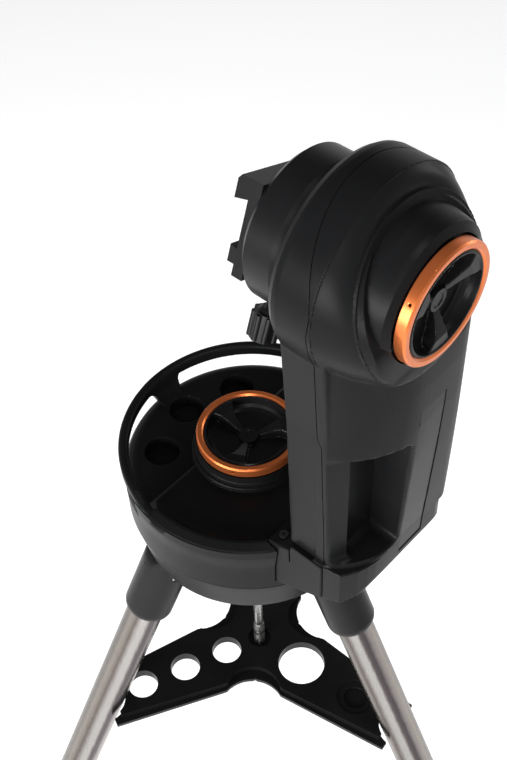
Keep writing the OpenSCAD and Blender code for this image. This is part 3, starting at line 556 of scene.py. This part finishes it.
cup_depth = 18
floor_w = 15  # depth at which the grips and the hub stand on the cup
hub_r, hub_top, hub_hole_r = 9, 8.2, 5.5
grip_top, grip_rise = 1.4, 0.36
hole_r = 1.5
GRIP = softened([
    (8, -3), (20, -4.5), (28, -7), (34, -13), (42, -17), (42, 11), (35, 6.5), (22, 4), (8, 2.5),
], 1)
# Half section of the bowl: radius, then depth below the rim.
BOWL = softened([(0, 5), (39.2, 5), (39, -3), (37.5, -10), (30, -13), (0, -13.4), (-9, 0)], 1)


def polar(u, v, degrees):
    """How far a place lies along a direction and across it."""
    a = math.radians(degrees)
    return u * math.cos(a) + v * math.sin(a), v * math.cos(a) - u * math.sin(a)


def clutch_cup(turn):
    """Field of the cup in its own frame: w runs outwards from the rim."""
    def shape(u, v, w):
        r = np.hypot(u, v)
        side = ring_in - 0.1
        cup = outline([(0, -cup_depth), (side, -cup_depth), (side, -1.4), (ring_in - 1.2, -0.4),
                       (0, -0.4)], r, w)
        cup = without(cup, outline(BOWL, r, w), 0.6)
        for k in range(3):
            along, across = polar(u, v, turn + 120 * k)
            sloping = (w + grip_top - grip_rise * (along - 30)) / 1.063
            top = np.maximum(w + grip_top, sloping)
            grip = common(common(outline(GRIP, along, across), top, 0.9), r - 40.5, 0.4)
            cup = joined(cup, np.maximum(grip, -w - floor_w), 1.2)
        hub = np.maximum(r - hub_r, np.maximum(w + hub_top, -w - floor_w))
        cup = joined(cup, hub, 1.0)
        return without(cup, np.maximum(r - hub_hole_r, -w - hub_top - 0.8), 0.5)
    return shape


def clutch_ring(hole_turn):
    """Field of the ring in the cup's frame, with its small hole facing hole_turn."""
    def shape(u, v, w):
        band = outline([
            (ring_in, -ring_h), (ring_r - 0.6, -ring_h), (ring_r, -ring_h + 0.6), (ring_r, -1.5),
            (ring_r - 1.3, 0), (ring_in + 1.9, 0), (ring_in, -1.6),
        ], np.hypot(u, v), w)
        along, across = polar(u, v, hole_turn)
        hole = np.maximum(np.hypot(across, w + ring_h / 2) - hole_r, 30 - along)
        return without(band + 0.35, hole, 0.3) - 0.35
    return shape


def on_azimuth(shape):
    return lambda x, y, z: shape(x, y, z - ring_top)


def on_altitude(shape):
    return lambda x, y, z: shape(y, z - alt_z, x - ring_face)


reach, sink = ring_r + 0.5, cup_depth + 1
for name, frame_of, turn, hole_turn, box_low, box_high in (
    ("azimuth", on_azimuth, 57, -65,
     (-reach, -reach, ring_top - sink), (reach, reach, ring_top)),
    ("altitude", on_altitude, 29, 145,
     (ring_face - sink, -reach, alt_z - reach), (ring_face, reach, alt_z + reach)),
):
    carve(name + "_clutch_cup", frame_of(clutch_cup(turn)), box_low, box_high, 0.8,
          name + "_clutch_knob")
    carve(name + "_clutch_band", frame_of(clutch_ring(hole_turn)), box_low, box_high, 0.65,
          name + "_clutch_ring")


# ---- The accessory tray, its rail and the arm's foot ----

dish_half = math.radians(74)  # the dish ends this far round from the rear on either side
well_circle, well_r, well_wall_r, well_depth = 83, 16.7, 18.5, 16.5
WELLS = [(well_circle * math.cos(math.radians(a)), well_circle * math.sin(math.radians(a)))
         for a in (180, 141, -141)]
under_z = deck_z - 3.5
seat_z = ring_top - ring_h - 0.4
# Half sections of the tray: radius, then height.
DISH = [
    (0, dish_z - 3.5), (112, dish_z - 3.5), (112, rim_z + 0.1), (drum_r - 1.4, rim_z + 0.1),
    (drum_r - 1.6, rim_z + 0.8), (113.5, lip_z - 0.2), (112.3, lip_z), (110.2, lip_z - 0.2),
    (104.6, dish_z + 0.5), (102.5, dish_z), (0, dish_z),
]
DECK = [
    (0, under_z), (0, deck_z), (106.5, deck_z), (110.5, deck_z - 0.9), (114, deck_z - 2.9),
    (116.7, deck_z - 5.8), (118.4, deck_z - 9.2), (119.2, deck_z - 12.8), (116, deck_z - 12.8),
    (114.4, deck_z - 7.6), (110.6, deck_z - 4.4),
]
PEDESTAL = [
    (0, under_z), (53.5, under_z), (53.5, dish_z + 3.4), (52.6, dish_z + 4.4),
    (51.0, dish_z + 4.6), (50.8, dish_z + 7.8), (50.0, dish_z + 8.6), (49.6, seat_z),
    (0, seat_z),
]


def keepout(x, y):
    """The room of the arm's foot, seen from above."""
    return np.maximum(foot_front - 60.3 - x, np.abs(y) - foot_side - 1.3)


def tray(x, y, z):
    r = np.hypot(x, y)
    rear = (np.abs(y) * math.cos(dish_half) + x * math.sin(dish_half))
    ramp_face = ((x + 22) * -10 + (z - dish_z) * 14) / 17.2
    dish = common(common(outline(DISH, r, z), ramp_face, 0.8), -rear - (r < 108) * 60, 0.4)
    deck_end = np.where(r < 107, np.minimum(rear, x + 16), rear)
    deck = common(outline(DECK, r, z), deck_end, 0.2)
    whole = joined(joined(dish, deck, 1.2), outline(PEDESTAL, r, z), 1.0)
    far = [np.hypot(x - wx, y - wy) for wx, wy in WELLS]
    for f in far:
        wall = np.maximum(f - well_wall_r, between(z, deck_z - well_depth - 2, deck_z - 1))
        whole = np.minimum(whole, wall)
    for f in far:
        whole = without(whole, np.maximum(f - well_r, deck_z - well_depth - z), 1.1)
    whole = np.maximum(whole, -np.maximum(r - 43, dish_z - 0.4 - z))
    whole = np.maximum(whole, 13.2 - r)
    return common(whole, -keepout(x, y), 0.4)


# How the rail's top runs down to the rim: degrees from the rear, and heights.
RAIL_TOP = ([0, 66, 72, 79, 84], [rail_top, rail_top, rail_top - 2.2, rim_z + 5.2, rim_z + 3.4])
POST = [
    (100.5, deck_z - 0.6), (107.5, deck_z - 0.6), (112, deck_z + 3), (119.5, rim_z + 0.6),
    (119, rim_z + 8), (113, rim_z + 6),
]


def rail(x, y, z):
    r = np.hypot(x, y)
    turn = np.degrees(np.arctan2(np.abs(y), -x))
    top = np.interp(turn, *RAIL_TOP).astype(np.float32)
    bar = common(between(r, 112.6, drum_r - 0.1), z - top, 3.6)
    bar = common(bar, rim_z + 0.3 - z, 2.6)
    bar = common(bar, (turn - 83.5) * 1.9, 1.5)
    spread_out = 0.25 * np.maximum(0, z - deck_z)
    post = common(outline(POST, r, z), np.abs(y) - 12.5 - spread_out, 1.5)
    return joined(bar, post, 5)


FOOT = [
    (87, 949), (87, 892.5), (97.5, 890.6), (foot_front, 915.5), (foot_front, 962), (113, 962),
    (110, 955), (97, 950.5),
]
foot_wall = 3.5
screw_x, screw_y, screw_hole_r = 95, 59, 4.4


def foot(x, y, z):
    block = common(outline(FOOT, x, z), np.abs(y) - foot_side + 0.1, 1.8)
    inside = np.maximum(outline(FOOT, x, z) + foot_wall, np.abs(y) - foot_side + 4)
    block = np.maximum(block, -inside)
    for s in (-1, 1):
        slot = np.maximum(np.abs(x - 111.5) - 0.8, np.maximum(foot_side - 2.5 - s * y, 938 - z))
        screw = np.hypot(x - screw_x, y - s * screw_y)
        block = without(block, slot, 0.3)
        block = without(block, np.maximum(screw - screw_hole_r, 949.6 - z), 0.4)
        block = np.maximum(block, 2.1 - screw)
    return block


carve("accessory_tray_dish", tray, (-drum_r, -drum_r, deck_z - 18.6),
      (drum_r, drum_r, ring_top - ring_h), 1.5, "accessory_tray")
carve("handle_rail_bar", rail, (-drum_r, -drum_r, deck_z - 1), (20, drum_r, rail_top), 1.3,
      "handle_rail")
carve("arm_foot_block", foot, (86, -foot_side, 889), (foot_front, foot_side, 963), 1.3,
      "arm_foot")


# ---- The collars at the top of the legs ----

collar_r, collar_low, collar_cap = 25.0, 72.5, 24.7
fork_half, fork_depth, fork_back = 10.4, 23, 14.0  # the slot for the head's wing
tube_r, tube_top, pin_r = 19.08, 29.5, 4.05


def collar(pivot, hinge, down):
    """Field of one collar about its hinge: u points outwards, v along the hinge, w down the leg."""
    out = np.cross(down, hinge)
    out = out * math.copysign(1, out[0] * pivot[0] + out[1] * pivot[1])

    def shape(x, y, z):
        x, y, z = x - pivot[0], y - pivot[1], z - pivot[2]
        u, v, w = (x * a[0] + y * a[1] + z * a[2] for a in (out, hinge, down))
        r = np.hypot(u, v)
        sleeve = outline([
            (0, 0), (collar_r, 0), (collar_r, collar_low - 8),
            (collar_r - 0.9, collar_low - 4.5), (collar_r - 3, collar_low - 1.4),
            (collar_r - 5.4, collar_low), (0, collar_low),
        ], r, w)
        cap = common(np.maximum(r - collar_r, w - 1), np.hypot(u, w) - collar_cap, 1.5)
        body = np.minimum(sleeve, cap)
        fork = np.maximum(np.abs(v) - fork_half, np.maximum(w - fork_depth, -u - 40))
        fork = np.maximum(fork, u - fork_back)
        tube = np.maximum(r - tube_r, tube_top - w)
        pin = np.hypot(u, w) - pin_r
        for hole in (fork, tube, pin):
            body = np.maximum(body, -hole)
        return body
    return shape


for k in (1, 2, 3):
    name = f"leg_{k}_fold"
    pivot = np.array(joints[name]["pos_m"]) / MM
    hinge = np.array(joints[name]["axis"], float)
    down = np.array(joints[f"leg_{k}_extend"]["axis"], float)
    replaced = f"leg_collar_{k}"
    carve(f"leg_collar_sleeve_{k}", collar(pivot, hinge, down), low(replaced), high(replaced),
          1.4, replaced)


# ---- Floor, light and camera ----

def disc(name, radius, height, segments=96):
    mesh = bpy.data.meshes.new(name)
    turns = [k * math.tau / segments for k in range(segments)]
    ring = [(radius * math.cos(a), radius * math.sin(a), height) for a in turns]
    mesh.from_pydata(ring, [], [list(range(segments))])
    made = bpy.data.objects.new(name, mesh)
    bpy.context.scene.collection.objects.link(made)
    return made


floor = disc("floor", 14.0, -0.0005)
floor_look = bpy.data.materials.new("pale_floor")
floor_look.use_nodes = True
floor_shader = floor_look.node_tree.nodes["Principled BSDF"]
floor_shader.inputs["Base Color"].default_value = (0.8, 0.8, 0.8, 1)
floor_shader.inputs["Roughness"].default_value = 0.9
floor_shader.inputs["Emission Color"].default_value = (1, 1, 1, 1)
floor_shader.inputs["Emission Strength"].default_value = 0.40
floor.data.materials.append(floor_look)


def area_light(name, place, target, width, height, power):
    data = bpy.data.lights.new(name, "AREA")
    data.shape, data.size, data.size_y, data.energy = "RECTANGLE", width, height, power
    made = bpy.data.objects.new(name, data)
    made.location = place
    made.rotation_mode = "QUATERNION"
    made.rotation_quaternion = (Vector(target) - Vector(place)).to_track_quat("-Z", "Y")
    bpy.context.scene.collection.objects.link(made)


middle = Vector((0.05, 0, 1.0))
area_light("left_softbox", (0.35, -2.6, 1.35), middle, 2.6, 1.0, 170)
area_light("right_softbox", (0.9, 2.9, 1.7), middle, 0.5, 1.4, 12)
area_light("front_softbox", (2.0, -2.3, 4.0), middle, 0.7, 0.7, 45)
area_light("top_softbox", (0.9, 0.2, 3.6), middle, 0.9, 0.7, 25)

world = bpy.data.worlds.new("studio")
world.use_nodes = True
sky = world.node_tree
height = node(sky, "ShaderNodeSeparateXYZ")
sky.links.new(node(sky, "ShaderNodeTexCoord").outputs["Generated"], height.inputs["Vector"])
horizon = ramp(sky, height.outputs["Z"], 0.16, 0.5, (0.92, 0.92, 0.92), (0.2, 0.2, 0.205))
sky.links.new(horizon, sky.nodes["Background"].inputs["Color"])
sky.nodes["Background"].inputs["Strength"].default_value = 1.0
bpy.context.scene.world = world
bpy.context.scene.view_settings.view_transform = "Standard"

azimuth, elevation, roll = (math.radians(a) for a in (44.14, 48.66, -2.675))
camera_place = (0.5099, -0.5157, 1.8580)
level = math.cos(elevation)
ahead = Vector((-math.sin(azimuth) * level, math.cos(azimuth) * level, -math.sin(elevation)))
right = ahead.cross(Vector((0, 0, 1))).normalized()
up = right.cross(ahead)
turned_right = right * math.cos(roll) + up * math.sin(roll)
turned_up = up * math.cos(roll) - right * math.sin(roll)
lens = bpy.data.cameras.new("camera")
lens.sensor_width, lens.lens = 36, 58.99
camera = bpy.data.objects.new("camera", lens)
facing = Matrix((turned_right, turned_up, -ahead)).transposed()
camera.matrix_world = Matrix.Translation(camera_place) @ facing.to_4x4()
bpy.context.scene.collection.objects.link(camera)
bpy.context.scene.camera = camera
